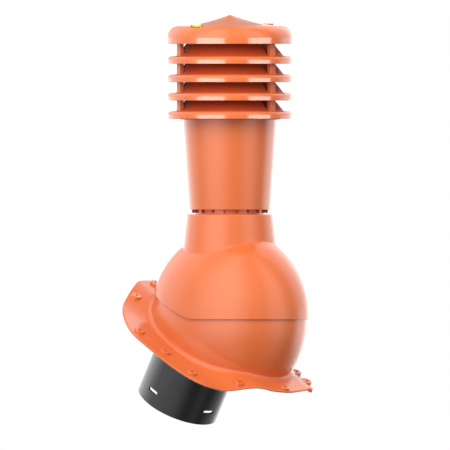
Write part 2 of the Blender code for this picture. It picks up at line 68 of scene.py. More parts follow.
ROOF_PITCH = math.radians(30.6)
BALL_CENTRE = Vector((0, 0, 0.055185))
ROOF_FRAME = Matrix.Translation(BALL_CENTRE) @ Matrix.Rotation(ROOF_PITCH, 4, "Y")
BRICK_ORANGE = (0.59, 0.127, 0.032, 1)
BRICK_SHADE = (0.52, 0.104, 0.025, 1)
SHEET = 0.003
CREST_DROP = 0.0265
WAVE_HEIGHT = 0.018
CREST_HALF_WIDTH = 0.041
VALLEY_HALF_WIDTH = 0.1025
BALL_RADIUS = 0.1288
BALL_HALF_WIDTH = 0.0985
DRUM_WALL = 0.003
DRUM_FOOT = (0.1269, 0.0982)
MOUTH_HEIGHT = 0.073
MOUTH_LEAN = math.radians(21.0) - ROOF_PITCH
BEAD = [(0, 0.0034), (0.0004, 0.0026), (0.0011, 0.0021), (0.0018, 0.0019), (0.0024, 0.0015),
        (0.0027, 0.0009), (0.0028, 0.0004), (0.0034, 0)]
SHEET_EDGE = [(-0.0016, 0), (-0.0009, -0.0001), (-0.0003, -0.0005), (0, -0.0012),
              (0, -0.0019), (-0.0003, -0.0026), (-0.0009, -0.003)]
SLEEVE_SHIFT = Vector((-0.0316, 0, 0))
SLEEVE_BORE = 0.0628
SLEEVE_OUTSIDE = 0.066
SLEEVE_TOP = -0.0205
SLEEVE_FOOT = -0.0675
SLEEVE_EASE = 0.0008
EAVE_REACH = 0.1625
RIDGE_REACH = 0.158
FAR_REACH = 0.106
PAN_REACH = 0.147
FLANGE_STEPS = 288
CREASE_ANGLE = math.radians(32)
WELD = 0.000002


def moulded_surface_group():
    """Slow drift of colour and gloss and a fine grain, as on moulded plastic."""
    group = bpy.data.node_groups.new("moulded surface", "ShaderNodeTree")
    sockets = group.interface
    for name, kind in (("Place", "NodeSocketVector"), ("Color", "NodeSocketColor"),
                       ("Shade", "NodeSocketColor"), ("Gloss", "NodeSocketFloat")):
        sockets.new_socket(name, in_out="INPUT", socket_type=kind)
    for name, kind in (("Color", "NodeSocketColor"), ("Roughness", "NodeSocketFloat"),
                       ("Height", "NodeSocketFloat")):
        sockets.new_socket(name, in_out="OUTPUT", socket_type=kind)
    nodes, links = group.nodes, group.links
    given = nodes.new("NodeGroupInput")
    made = nodes.new("NodeGroupOutput")
    drift = nodes.new("ShaderNodeTexNoise")
    drift.inputs["Scale"].default_value = 14
    drift.inputs["Detail"].default_value = 3
    links.new(given.outputs["Place"], drift.inputs["Vector"])
    drift_share = nodes.new("ShaderNodeMapRange")
    drift_share.inputs["From Min"].default_value = 0.35
    drift_share.inputs["From Max"].default_value = 0.75
    drift_share.inputs["To Max"].default_value = 0.22
    links.new(drift.outputs["Fac"], drift_share.inputs["Value"])
    tone = nodes.new("ShaderNodeMix")
    tone.data_type = "RGBA"
    links.new(drift_share.outputs["Result"], tone.inputs["Factor"])
    links.new(given.outputs["Color"], tone.inputs["A"])
    links.new(given.outputs["Shade"], tone.inputs["B"])
    links.new(tone.outputs["Result"], made.inputs["Color"])
    smear = nodes.new("ShaderNodeTexNoise")
    smear.inputs["Scale"].default_value = 55
    smear.inputs["Detail"].default_value = 4
    links.new(given.outputs["Place"], smear.inputs["Vector"])
    gloss_drift = nodes.new("ShaderNodeMath")
    gloss_drift.operation = "MULTIPLY_ADD"
    gloss_drift.inputs[1].default_value = 0.05
    links.new(smear.outputs["Fac"], gloss_drift.inputs[0])
    links.new(given.outputs["Gloss"], gloss_drift.inputs[2])
    links.new(gloss_drift.outputs["Value"], made.inputs["Roughness"])
    grain = nodes.new("ShaderNodeTexNoise")
    grain.inputs["Scale"].default_value = 900
    grain.inputs["Detail"].default_value = 2
    links.new(given.outputs["Place"], grain.inputs["Vector"])
    ripple = nodes.new("ShaderNodeMath")
    ripple.operation = "MULTIPLY_ADD"
    ripple.inputs[1].default_value = 2.5
    links.new(drift.outputs["Fac"], ripple.inputs[0])
    links.new(grain.outputs["Fac"], ripple.inputs[2])
    links.new(ripple.outputs["Value"], made.inputs["Height"])
    return group


MOULDED_SURFACE = moulded_surface_group()


def moulded_plastic(name, color, shade, gloss, grain_depth):
    """Plastic that is moulded in its own colour; gloss is its lowest roughness."""
    material = bpy.data.materials.new(name)
    material.use_nodes = True
    nodes, links = material.node_tree.nodes, material.node_tree.links
    shader = nodes["Principled BSDF"]
    place = nodes.new("ShaderNodeTexCoord")
    surface = nodes.new("ShaderNodeGroup")
    surface.node_tree = MOULDED_SURFACE
    surface.inputs["Color"].default_value = color
    surface.inputs["Shade"].default_value = shade
    surface.inputs["Gloss"].default_value = gloss
    relief = nodes.new("ShaderNodeBump")
    relief.inputs["Strength"].default_value = 0.5
    relief.inputs["Distance"].default_value = grain_depth
    links.new(place.outputs["Object"], surface.inputs["Place"])
    links.new(surface.outputs["Color"], shader.inputs["Base Color"])
    links.new(surface.outputs["Roughness"], shader.inputs["Roughness"])
    links.new(surface.outputs["Height"], relief.inputs["Height"])
    links.new(relief.outputs["Normal"], shader.inputs["Normal"])
    return material


def shell_from_sections(steps, section):
    """A closed shell through one closed section for each step of a full turn."""
    sections = [section(math.tau * step / steps) for step in range(steps)]
    rows = len(sections[0])
    shape = bmesh.new()
    bmesh.ops.create_grid(shape, x_segments=steps, y_segments=rows, size=1)
    for corner in shape.verts:
        step = round((corner.co.x + 1) / 2 * steps) % steps
        row = round((corner.co.y + 1) / 2 * rows) % rows
        corner.co = sections[step][row]
    bmesh.ops.remove_doubles(shape, verts=shape.verts, dist=WELD)
    bmesh.ops.recalc_face_normals(shape, faces=shape.faces)
    return shape


def new_piece(name, shape, material):
    """An object from a bmesh, smooth but for the edges that turn more than CREASE_ANGLE."""
    mesh = bpy.data.meshes.new(name)
    shape.to_mesh(mesh)
    shape.free()
    mesh.shade_smooth()
    mesh.set_sharp_from_angle(angle=CREASE_ANGLE)
    mesh.materials.append(material)
    piece = bpy.data.objects.new(name, mesh)
    bpy.context.scene.collection.objects.link(piece)
    return piece


def apply_modifiers(piece):
    """Make the piece's modifiers part of its mesh."""
    bpy.context.view_layer.update()
    shown = piece.evaluated_get(bpy.context.evaluated_depsgraph_get())
    piece.data = bpy.data.meshes.new_from_object(shown)
    piece.modifiers.clear()
    piece.data.shade_smooth()
    piece.data.set_sharp_from_angle(angle=CREASE_ANGLE)


def cut_or_join(piece, operation, shape):
    """Cut a bmesh out of the piece, or join it on, and drop the tool."""
    mesh = bpy.data.meshes.new("tool")
    shape.to_mesh(mesh)
    shape.free()
    tool = bpy.data.objects.new("tool", mesh)
    bpy.context.scene.collection.objects.link(tool)
    change = piece.modifiers.new("Change", "BOOLEAN")
    change.operation = operation
    change.solver = "EXACT"
    change.object = tool
    apply_modifiers(piece)
    bpy.data.objects.remove(tool, do_unlink=True)


def oval_reach(turn, half_length, half_width):
    """Distance from an oval's middle to its line, in one direction."""
    return 1 / math.hypot(math.cos(turn) / half_length, math.sin(turn) / half_width)


def solve(function, low, high):
    """Where a rising function crosses nought."""
    for _ in range(40):
        middle = (low + high) / 2
        if function(middle) < 0:
            low = middle
        else:
            high = middle
    return (low + high) / 2


def wave_level(across):
    """Height of the sheet's top face, from the middle of the ball."""
    run = (abs(across) - CREST_HALF_WIDTH) / (VALLEY_HALF_WIDTH - CREST_HALF_WIDTH)
    run = min(max(run, 0), 1)
    return -CREST_DROP - WAVE_HEIGHT * run * run * (3 - 2 * run)


def on_flange(down, across):
    """A place on the flange from shares of its reach: eave +1, ridge -1, far +1, pan -1."""
    reach_down = EAVE_REACH if down > 0 else RIDGE_REACH
    reach_across = FAR_REACH if across > 0 else PAN_REACH
    return Vector((down * reach_down, across * reach_across))


FLANGE_LINE = [on_flange(*share) for share in (
    (-1.0, -0.21), (-0.92, -0.415), (-0.74, -0.667), (-0.525, -0.85), (-0.266, -0.98),
    (-0.025, -1.0), (0.34, -0.98), (0.554, -0.925), (0.708, -0.81), (0.794, -0.633),
    (0.865, -0.452), (0.938, -0.279), (0.978, -0.19), (1.0, 0.0), (0.975, 0.264),
    (0.945, 0.460), (0.865, 0.645), (0.785, 0.735), (0.66, 0.79), (0.46, 0.85),
    (0.215, 0.97), (-0.03, 1.0), (-0.316, 0.943), (-0.582, 0.792), (-0.81, 0.566),
    (-0.943, 0.236),
)]


def smooth_line(knots, steps):
    """A closed smooth line through the knots."""
    line = []
    for index, start in enumerate(knots):
        before, end = knots[index - 1], knots[(index + 1) % len(knots)]
        after = knots[(index + 2) % len(knots)]
        for step in range(steps):
            t = step / steps
            pull_start, pull_end = (end - before) / 2, (after - start) / 2
            line.append(start * (1 + t * t * (2 * t - 3)) + end * t * t * (3 - 2 * t)
                        + pull_start * t * (1 - t) ** 2 - pull_end * t * t * (1 - t))
    return line


FLANGE_POLAR = sorted(
    (math.atan2(place.y, place.x) % math.tau, place.length)
    for place in smooth_line(FLANGE_LINE, 16)
)


def flange_reach(turn):
    """Distance from the middle of the ball to the flange's edge."""
    spread = [(FLANGE_POLAR[-1][0] - math.tau, FLANGE_POLAR[-1][1]), *FLANGE_POLAR,
              (FLANGE_POLAR[0][0] + math.tau, FLANGE_POLAR[0][1])]
    for (start, near), (end, far) in zip(spread, spread[1:]):
        if start <= turn <= end:
            return near + (far - near) * (turn - start) / (end - start)
    return FLANGE_POLAR[0][1]


def flange_section(turn):
    """The flange and drum cut through the roof's normal, from the sleeve round to it again."""
    way = Vector((math.cos(turn), math.sin(turn), 0))
    up = Vector((0, 0, 1))

    def at(reach, height):
        return way * reach + up * height

    def on_sheet(reach, height):
        place = way * reach
        return place + up * (wave_level(place.y) + height)

    def on_sleeve(radius, height):
        return SLEEVE_SHIFT + way * radius + up * height

    def to_mouth(reach, radius):
        def over(lift):
            lean = reach * math.cos(lift) * way.x * math.sin(MOUTH_LEAN)
            return lean + radius * math.sin(lift) * math.cos(MOUTH_LEAN) - MOUTH_HEIGHT
        return solve(over, 0, 1.3)

    sleeve_edge = on_sleeve(SLEEVE_OUTSIDE, 0)
    points = [on_sleeve(SLEEVE_BORE, SLEEVE_TOP), on_sleeve(SLEEVE_OUTSIDE, SLEEVE_TOP),
              sleeve_edge + up * wave_level(sleeve_edge.y)]
    inner_radius = BALL_RADIUS - DRUM_WALL
    inner = oval_reach(turn, inner_radius, BALL_HALF_WIDTH - DRUM_WALL)
    inner_foot = oval_reach(turn, DRUM_FOOT[0] - DRUM_WALL, DRUM_FOOT[1] - DRUM_WALL)
    inner_low = -math.acos(min(inner_foot / inner, 1))
    inner_high = to_mouth(inner, inner_radius)
    points.append(on_sheet(inner_foot, 0))
    for step in range(11):
        lift = inner_low + (inner_high - inner_low) * step / 10
        points.append(at(inner * math.cos(lift), inner_radius * math.sin(lift)))
    outer = oval_reach(turn, BALL_RADIUS, BALL_HALF_WIDTH)
    foot = oval_reach(turn, *DRUM_FOOT)
    low = -math.acos(min(foot / outer, 1))
    high = to_mouth(outer, BALL_RADIUS)
    for step in range(25):
        lift = high + (low - high) * step / 24
        points.append(at(outer * math.cos(lift), BALL_RADIUS * math.sin(lift)))
    straight_top = points[-1].z
    bead_top = on_sheet(foot, BEAD[0][1]).z
    for step in range(1, 6):
        points.append(at(foot, straight_top + (bead_top - straight_top) * step / 6))
    points += [on_sheet(foot + out, height) for out, height in BEAD]
    edge = flange_reach(turn)
    bead_edge, sheet_edge = foot + BEAD[-1][0], edge + SHEET_EDGE[0][0]
    for step in range(1, 16):
        points.append(on_sheet(bead_edge + (sheet_edge - bead_edge) * step / 16, 0))
    points += [on_sheet(edge + out, height) for out, height in SHEET_EDGE]
    under_edge = way * (edge + SHEET_EDGE[-1][0])
    for step in range(1, 13):
        place = under_edge.lerp(sleeve_edge, step / 12)
        points.append(place + up * (wave_level(place.y) - SHEET))
    points += [on_sleeve(SLEEVE_OUTSIDE, SLEEVE_FOOT + SLEEVE_EASE),
               on_sleeve(SLEEVE_OUTSIDE - SLEEVE_EASE, SLEEVE_FOOT),
               on_sleeve(SLEEVE_BORE, SLEEVE_FOOT)]
    return points


shape = shell_from_sections(FLANGE_STEPS, flange_section)
bmesh.ops.transform(shape, matrix=ROOF_FRAME, verts=shape.verts)
BASE_PLASTIC = moulded_plastic(
    "brick plastic of the base", BRICK_ORANGE, BRICK_SHADE, gloss=0.22, grain_depth=0.00003)
flange = new_piece("flange_and_ball", shape, BASE_PLASTIC)
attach(flange, "base")
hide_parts("base")


# Screw bosses
#
# Round raised seats in the flange, moulded with it, where the roof screws go through. Each has
# a hole down its middle, and its flat top lies square to the screw. A small round lug with a
# pinhole stands on the flange's far tip.

BOSSES = [on_flange(*share) for share in (
    (-0.921, -0.119), (-0.785, -0.48), (-0.253, -0.878), (0.117, -0.857), (0.486, -0.827),
    (0.7735, -0.468), (0.9385, -0.02), (0.737, 0.69), (0.548, 0.745), (-0.78, 0.44),
)]
BOSS_RADIUS = 0.0079
BOSS_HEIGHT = 0.0032
BOSS_HOLE = 0.0022
BOSS_FLARE = 0.0004
BOSS_ROOT = -0.006
DRILL_LENGTH = 0.03
EDGE_LUG = on_flange(0.952, 0.462)
EDGE_LUG_RADIUS = 0.0033
EDGE_LUG_PINHOLE = 0.0006
EDGE_LUG_RISE = 0.0018
EDGE_LUG_DROP = 0.0008
EDGE_LUG_EASE = 0.0006
EASE_STEPS = 4


def eased(corners):
    """A section's points, from corners given as radius, height and size of rounding."""
    points = []
    for index, (radius, height, ease) in enumerate(corners):
        corner = Vector((radius, height))
        before = Vector(corners[index - 1][:2]) - corner
        after = Vector(corners[(index + 1) % len(corners)][:2]) - corner
        if not ease:
            points.append(tuple(corner))
            continue
        start, end = corner + before.normalized() * ease, corner + after.normalized() * ease
        for step in range(EASE_STEPS + 1):
            t = step / EASE_STEPS
            points.append(tuple(start * (1 - t) ** 2 + corner * 2 * t * (1 - t) + end * t * t))
    return points


def turned(section, steps, angle=math.tau):
    """A closed section of (radius, height) points turned about the Z axis."""
    shape = bmesh.new()
    corners = [shape.verts.new((radius, 0, height)) for radius, height in section]
    whole = angle == math.tau
    if whole:
        edges = [shape.edges.new(pair) for pair in zip(corners, corners[1:] + corners[:1])]
        geometry = corners + edges
    else:
        face = shape.faces.new(corners)
        geometry = [face, *face.edges, *corners]
    bmesh.ops.spin(shape, geom=geometry, cent=(0, 0, 0), axis=(0, 0, 1), angle=angle,
                   steps=steps, use_merge=whole)
    bmesh.ops.remove_doubles(shape, verts=shape.verts, dist=WELD)
    bmesh.ops.recalc_face_normals(shape, faces=shape.faces)
    return shape


def copies(shape, frames):
    """The same shape once in each frame, in one bmesh."""
    together = bmesh.new()
    pattern = bpy.data.meshes.new("pattern")
    shape.to_mesh(pattern)
    shape.free()
    for place in frames:
        start = len(together.verts)
        together.from_mesh(pattern)
        together.verts.ensure_lookup_table()
        bmesh.ops.transform(together, matrix=place, verts=together.verts[start:])
    bpy.data.meshes.remove(pattern)
    return together


boss_section = eased([
    (BOSS_HOLE, BOSS_HEIGHT, 0.0005), (BOSS_RADIUS, BOSS_HEIGHT, 0.0010),
    (BOSS_RADIUS + BOSS_FLARE, BOSS_ROOT, 0), (BOSS_HOLE, BOSS_ROOT, 0),
])
boss_frames = [Matrix.Translation((place.x, place.y, wave_level(place.y))) for place in BOSSES]
shape = copies(turned(boss_section, 40), boss_frames)
for corner in shape.verts:
    corner.co.z = max(corner.co.z, wave_level(corner.co.y) - SHEET / 2)
lug_top = wave_level(EDGE_LUG.y) + EDGE_LUG_RISE
lug_foot = wave_level(EDGE_LUG.y) - SHEET - EDGE_LUG_DROP
edge_lug = turned(eased([
    (EDGE_LUG_PINHOLE, lug_top, 0), (EDGE_LUG_RADIUS, lug_top, EDGE_LUG_EASE),
    (EDGE_LUG_RADIUS, lug_foot, EDGE_LUG_EASE), (EDGE_LUG_PINHOLE, lug_foot, 0),
]), 24)
bmesh.ops.translate(edge_lug, vec=(*EDGE_LUG, 0), verts=edge_lug.verts)
lug_mesh = bpy.data.meshes.new("lug")
edge_lug.to_mesh(lug_mesh)
edge_lug.free()
shape.from_mesh(lug_mesh)
bpy.data.meshes.remove(lug_mesh)
bmesh.ops.transform(shape, matrix=ROOF_FRAME, verts=shape.verts)
bosses = new_piece("screw_bosses", shape, BASE_PLASTIC)
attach(bosses, "base")
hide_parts("base")

drill = bmesh.new()
bmesh.ops.create_cone(drill, cap_ends=True, segments=24, radius1=BOSS_HOLE, radius2=BOSS_HOLE,
                      depth=DRILL_LENGTH)
holes = copies(drill, [ROOF_FRAME @ place for place in boss_frames])
cut_or_join(flange, "DIFFERENCE", holes)


# Duct spigot
#
# A black plastic tube of 125 mm, pushed through the sleeve from above until its rim rests on
# it. Four slots with round ends near its foot take the strap that holds the duct.

SPIGOT_RADIUS = 0.0625
SPIGOT_WALL = 0.003
SPIGOT_LENGTH = 0.1410
SPIGOT_RIM_RADIUS = SPIGOT_RADIUS + 0.0035
SPIGOT_RIM_HEIGHT = 0.003
SEAT_GAP = 0.0003
SPIGOT_TOP = SLEEVE_TOP + SEAT_GAP
SPIGOT_FOOT = SPIGOT_TOP - SPIGOT_LENGTH
SLOT_LENGTH = 0.0196
SLOT_HEIGHT = 0.0050
SLOT_RISE = 0.0215

spigot_section = eased([
    (SPIGOT_RADIUS - SPIGOT_WALL, SPIGOT_TOP + SPIGOT_RIM_HEIGHT, 0.0006),
    (SPIGOT_RIM_RADIUS, SPIGOT_TOP + SPIGOT_RIM_HEIGHT, 0.0006),
    (SPIGOT_RIM_RADIUS, SPIGOT_TOP, 0),
    (SPIGOT_RADIUS, SPIGOT_TOP, 0), (SPIGOT_RADIUS, SPIGOT_FOOT, 0.0008),
    (SPIGOT_RADIUS - SPIGOT_WALL, SPIGOT_FOOT, 0.0006),
])
SPIGOT_FRAME = ROOF_FRAME @ Matrix.Translation(SLEEVE_SHIFT)
shape = turned(spigot_section, 128)
bmesh.ops.transform(shape, matrix=SPIGOT_FRAME, verts=shape.verts)
SPIGOT_PLASTIC = moulded_plastic(
    "black duct plastic", (0.016, 0.016, 0.017, 1), (0.024, 0.024, 0.026, 1),
    gloss=0.18, grain_depth=0.00004)
spigot = new_piece("duct_spigot", shape, SPIGOT_PLASTIC)
slot_tool = bmesh.new()
bmesh.ops.create_cone(slot_tool, cap_ends=True, segments=24, radius1=SLOT_HEIGHT / 2,
                      radius2=SLOT_HEIGHT / 2, depth=3 * SPIGOT_RADIUS)
for corner in slot_tool.verts:
    corner.co.x += math.copysign((SLOT_LENGTH - SLOT_HEIGHT) / 2, corner.co.x)
lay_down = Matrix.Rotation(math.radians(90), 4, "X")
slots = copies(slot_tool, [
    SPIGOT_FRAME @ Matrix.Translation((0, 0, SPIGOT_FOOT + SLOT_RISE))
    @ Matrix.Rotation(turn, 4, "Z") @ lay_down
    for turn in (0, math.radians(90))
])
cut_or_join(spigot, "DIFFERENCE", slots)
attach(spigot, "base")
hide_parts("spigot")


# Tilting hood
#
# Moulded of the same orange plastic. Its lower part is a shell over the ball, on which it
# tilts until the pipe stands upright, and the conical collar above takes the pipe's neck.

HOOD_RADIUS = 0.1320
HOOD_HALF_WIDTH = 0.1017
HOOD_WALL = 0.0026
RIM_SLOPE = math.radians(21.8)
RIM_KINK = 0.0146
RIM_KINK_RADIUS = 0.091
COLLAR_TOP = 0.1539
COLLAR_TOP_RADIUS = 0.0631
COLLAR_TAPER = math.radians(6.5)
COLLAR_WALL = 0.003
COLLAR_ROUND = 0.0022
CREASE_ROUND = 0.0022
SOCKET_RADIUS = 0.0518
SOCKET_WALL = 0.0025
SOCKET_DEPTH = 0.024
SOCKET_FLOOR = COLLAR_TOP - SOCKET_DEPTH
LEDGE_BORE = 0.048
RIM_EASE = 0.0004
HOOD_STEPS = 240


def rim_level(down):
    """Height of the hood's rim: level on the eave side, rising towards the ridge."""
    run = RIM_KINK_RADIUS * math.tan(RIM_SLOPE / 2)
    back = RIM_KINK + run - down
    if back <= 0:
        return 0
    if back < RIM_KINK_RADIUS * math.sin(RIM_SLOPE):
        return RIM_KINK_RADIUS - math.sqrt(RIM_KINK_RADIUS ** 2 - back * back)
    return (RIM_KINK - down) * math.tan(RIM_SLOPE)


def hood_section(turn):
    """The hood cut through the pipe's axis, from the collar's top round to it again."""
    way = Vector((math.cos(turn), math.sin(turn)))

    def collar_radius(height):
        return COLLAR_TOP_RADIUS + (COLLAR_TOP - height) * math.tan(COLLAR_TAPER)

    def crease(reach, radius, wall):
        def gap(height):
            ball = reach * math.sqrt(max(1 - (height / radius) ** 2, 0))
            return collar_radius(height) - wall - ball
        return solve(gap, 0.04, COLLAR_TOP)

    def rim(reach, radius):
        return solve(lambda lift: radius * math.sin(lift)
                     - rim_level(reach * math.cos(lift) * way.x), -0.2, 1.2)

    outer = oval_reach(turn, HOOD_RADIUS, HOOD_HALF_WIDTH)
    inner_radius = HOOD_RADIUS - HOOD_WALL
    inner = oval_reach(turn, inner_radius, HOOD_HALF_WIDTH - HOOD_WALL)
    points = []
    for step in range(7):
        lean = math.radians(90) * step / 6
        points.append((COLLAR_TOP_RADIUS - COLLAR_ROUND * (1 - math.sin(lean)),
                       COLLAR_TOP - COLLAR_ROUND * (1 - math.cos(lean))))
    height = crease(outer, HOOD_RADIUS, 0)
    start = height + CREASE_ROUND
    for step in range(1, 6):
        level = COLLAR_TOP - COLLAR_ROUND + (start - COLLAR_TOP + COLLAR_ROUND) * step / 5
        points.append((collar_radius(level), level))
    corner = Vector((collar_radius(height), height))
    lift_start = math.asin(height / HOOD_RADIUS) - CREASE_ROUND / HOOD_RADIUS
    above = Vector(points[-1])
    below = Vector((outer * math.cos(lift_start), HOOD_RADIUS * math.sin(lift_start)))
    for step in range(1, 5):
        t = step / 4
        points.append(tuple(above * (1 - t) ** 2 + corner * 2 * t * (1 - t) + below * t * t))
    lift_end = rim(outer, HOOD_RADIUS) + RIM_EASE / HOOD_RADIUS
    for step in range(1, 33):
        lift = lift_start + (lift_end - lift_start) * step / 32
        points.append((outer * math.cos(lift), HOOD_RADIUS * math.sin(lift)))
    lift = lift_end - RIM_EASE / HOOD_RADIUS
    points.append(((outer - RIM_EASE) * math.cos(lift), HOOD_RADIUS * math.sin(lift)))
    inner_end = rim(inner, inner_radius)
    inner_height = crease(inner, inner_radius, COLLAR_WALL)
    inner_start = math.asin(inner_height / inner_radius)
    for step in range(17):
        lift = inner_end + (inner_start - inner_end) * step / 16
        points.append((inner * math.cos(lift), inner_radius * math.sin(lift)))
    bore_top = COLLAR_TOP - COLLAR_WALL
    socket_outside = SOCKET_RADIUS + SOCKET_WALL
    ledge_foot = SOCKET_FLOOR - SOCKET_WALL
    points += [(collar_radius(bore_top) - COLLAR_WALL, bore_top), (socket_outside, bore_top),
               (socket_outside, ledge_foot), (LEDGE_BORE, ledge_foot),
               (LEDGE_BORE, SOCKET_FLOOR), (SOCKET_RADIUS, SOCKET_FLOOR),
               (SOCKET_RADIUS, COLLAR_TOP)]
    return [Vector((radius * way.x, radius * way.y, height)) for radius, height in points]


PIPE_FRAME = Matrix.Translation(BALL_CENTRE)
shape = shell_from_sections(HOOD_STEPS, hood_section)
bmesh.ops.transform(shape, matrix=PIPE_FRAME, verts=shape.verts)
HEAD_PLASTIC = moulded_plastic(
    "brick plastic of the head", BRICK_ORANGE, BRICK_SHADE, gloss=0.20, grain_depth=0.00002)
hood = new_piece("tilting_hood", shape, HEAD_PLASTIC)
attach(hood, "head")
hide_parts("hood")


# Outer pipe
#
# A moulded cone, wider at its head. Its neck drops into the hood's collar, and short ribs hang
# round the neck under its foot. The louvre rings stand on three lugs at its head.

NECK_RADIUS = 0.0515
NECK_FOOT = SOCKET_FLOOR + SEAT_GAP
NECK_SHOWN = 0.0068
PIPE_WALL = 0.003
PIPE_LENGTH = 0.1316
PIPE_FOOT = COLLAR_TOP + NECK_SHOWN
PIPE_FOOT_RADIUS = 0.0599
PIPE_HEAD = PIPE_FOOT + PIPE_LENGTH
PIPE_HEAD_RADIUS = 0.0690
HEAD_PLATE = 0.0015
HEAD_PLATE_RADIUS = 0.0735
HEAD_RIM = 0.0085
RIB_COUNT = 18
RIB_RADIUS = 0.0555
RIB_THICKNESS = 0.0018
RIB_HEIGHT = 0.0047
RING_SEAT = PIPE_HEAD + HEAD_PLATE + HEAD_RIM
LUG_HEIGHT = 0.0070
POST_RADIUS = 0.0780
POST_WIDTH = 0.0120
POST_DEPTH = 0.0062
POST_ANGLES = [math.radians(7.2 + 120 * index) for index in range(3)]

pipe_section = eased([
    (PIPE_HEAD_RADIUS - PIPE_WALL, RING_SEAT, 0.0006), (PIPE_HEAD_RADIUS, RING_SEAT, 0.0006),
    (PIPE_HEAD_RADIUS, PIPE_HEAD + HEAD_PLATE, 0),
    (HEAD_PLATE_RADIUS, PIPE_HEAD + HEAD_PLATE, 0.0004),
    (HEAD_PLATE_RADIUS, PIPE_HEAD, 0.0004), (PIPE_HEAD_RADIUS, PIPE_HEAD, 0),
    (PIPE_FOOT_RADIUS, PIPE_FOOT, 0.0007), (NECK_RADIUS, PIPE_FOOT, 0),
    (NECK_RADIUS, NECK_FOOT, 0.0005), (NECK_RADIUS - PIPE_WALL, NECK_FOOT, 0.0005),
    (NECK_RADIUS - PIPE_WALL, PIPE_FOOT + PIPE_WALL, 0.0010),
    (PIPE_FOOT_RADIUS - PIPE_WALL, PIPE_FOOT + PIPE_WALL, 0),
    (PIPE_HEAD_RADIUS - PIPE_WALL, PIPE_HEAD, 0),
])


def rounded_block(size, ease):
    """A block with its edges rounded, about the origin."""
    shape = bmesh.new()
    bmesh.ops.create_cube(shape, size=1, matrix=Matrix.Diagonal((*size, 1)))
    bmesh.ops.bevel(shape, geom=shape.edges[:], offset=ease, affect="EDGES", segments=2,
                    profile=0.5, material=-1)
    return shape


def around_pipe(angle, radius, height):
    """A place round the pipe's axis, turned to face away from it."""
    return PIPE_FRAME @ Matrix.Rotation(angle, 4, "Z") @ Matrix.Translation((radius, 0, height))


shape = turned(pipe_section, 160)
bmesh.ops.transform(shape, matrix=PIPE_FRAME, verts=shape.verts)
pipe = new_piece("outer_pipe", shape, HEAD_PLASTIC)
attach(pipe, "head")
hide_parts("pipe")

# Painted shade: the same brick plastic made darker and redder, for the skirts inside the
# louvres and the ribs under the neck. It paints the shade under the lips and in the neck's gap
# into their colour.
PAINTED_SHADE_PLASTIC = moulded_plastic(
    "brick plastic with painted shade", (0.42, 0.050, 0.012, 1), (0.36, 0.040, 0.009, 1),
    gloss=0.55, grain_depth=0.00002)
rib_depth = RIB_RADIUS - NECK_RADIUS + PIPE_WALL / 2
rib_size = (rib_depth, RIB_THICKNESS, RIB_HEIGHT + PIPE_WALL / 2)
rib_level = PIPE_FOOT + PIPE_WALL / 2 - rib_size[2] / 2
# The neck ribs take the darker plastic with painted shade.
ribs = new_piece("neck_ribs", copies(rounded_block(rib_size, 0.0003), [
    around_pipe(POST_ANGLES[0] + math.tau * index / RIB_COUNT,
                RIB_RADIUS - rib_depth / 2, rib_level)
    for index in range(RIB_COUNT)
]), PAINTED_SHADE_PLASTIC)
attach(ribs, "head")
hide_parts("pipe")

lug_inner = PIPE_HEAD_RADIUS - PIPE_WALL / 2
lug_outer = POST_RADIUS + POST_DEPTH / 2
lug_size = (lug_outer - lug_inner, POST_WIDTH, LUG_HEIGHT)
lugs = new_piece("ring_lugs", copies(rounded_block(lug_size, 0.0006), [
    around_pipe(angle, (lug_outer + lug_inner) / 2, RING_SEAT - LUG_HEIGHT / 2)
    for angle in POST_ANGLES
]), HEAD_PLASTIC)
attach(lugs, "head")
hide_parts("pipe")


# Louvre rings
#
# Four like rings of the same plastic, stacked on their three posts and held by clips inside.
# A rounded lip sheds the rain, and behind it a sloping skirt in three lengths keeps it out.

RING_COUNT = 4
RING_PITCH = 0.02687
RING_RADIUS = 0.0922
RING_WALL = 0.0025
RING_LIP = 0.0050
RING_ROUND = 0.0064
SKIRT_FOOT_RADIUS = 0.0788
SKIRT_RISE = 0.0200
SKIRT_SLOPE = math.radians(50.2)
SKIRT_WALL = 0.002
SKIRT_GAP = math.radians(13.0)
SKIRT_SINK = 0.001
PLATE_INSIDE = SKIRT_FOOT_RADIUS - 0.004
LIP_EASE = 0.0004
GROOVE_PLACES = (-0.0021, 0.0021)
GROOVE_WIDTH = 0.0011
GROOVE_DEPTH = 0.0007


def arc_points(centre_radius, centre_height, width, height, steps):
    """Points down a rounded shoulder, from its crown to its widest level."""
    turns = [math.radians(90) * step / steps for step in range(steps + 1)]
    return [(centre_radius + width * math.sin(turn), centre_height + height * math.cos(turn))
            for turn in turns]


def grooved_post(height):
    """A post whose outer face has two grooves down it; its foot is at the origin."""
    half_depth, half_width, ease = POST_DEPTH / 2, POST_WIDTH / 2, 0.0007
    outline = [(-half_depth, -half_width), (half_depth - ease, -half_width),
               (half_depth, -half_width + ease)]
    for place in GROOVE_PLACES:
        outline += [(half_depth, place - GROOVE_WIDTH / 2),
                    (half_depth - GROOVE_DEPTH, place - GROOVE_WIDTH / 4),
                    (half_depth - GROOVE_DEPTH, place + GROOVE_WIDTH / 4),
                    (half_depth, place + GROOVE_WIDTH / 2)]
    outline += [(half_depth, half_width - ease), (half_depth - ease, half_width),
                (-half_depth, half_width)]
    shape = bmesh.new()
    face = shape.faces.new([shape.verts.new((x, y, 0)) for x, y in outline])
    raised = bmesh.ops.extrude_face_region(shape, geom=[face])
    top = [part for part in raised["geom"] if isinstance(part, bmesh.types.BMVert)]
    bmesh.ops.translate(shape, vec=(0, 0, height), verts=top)
    bmesh.ops.recalc_face_normals(shape, faces=shape.faces)
    return shape


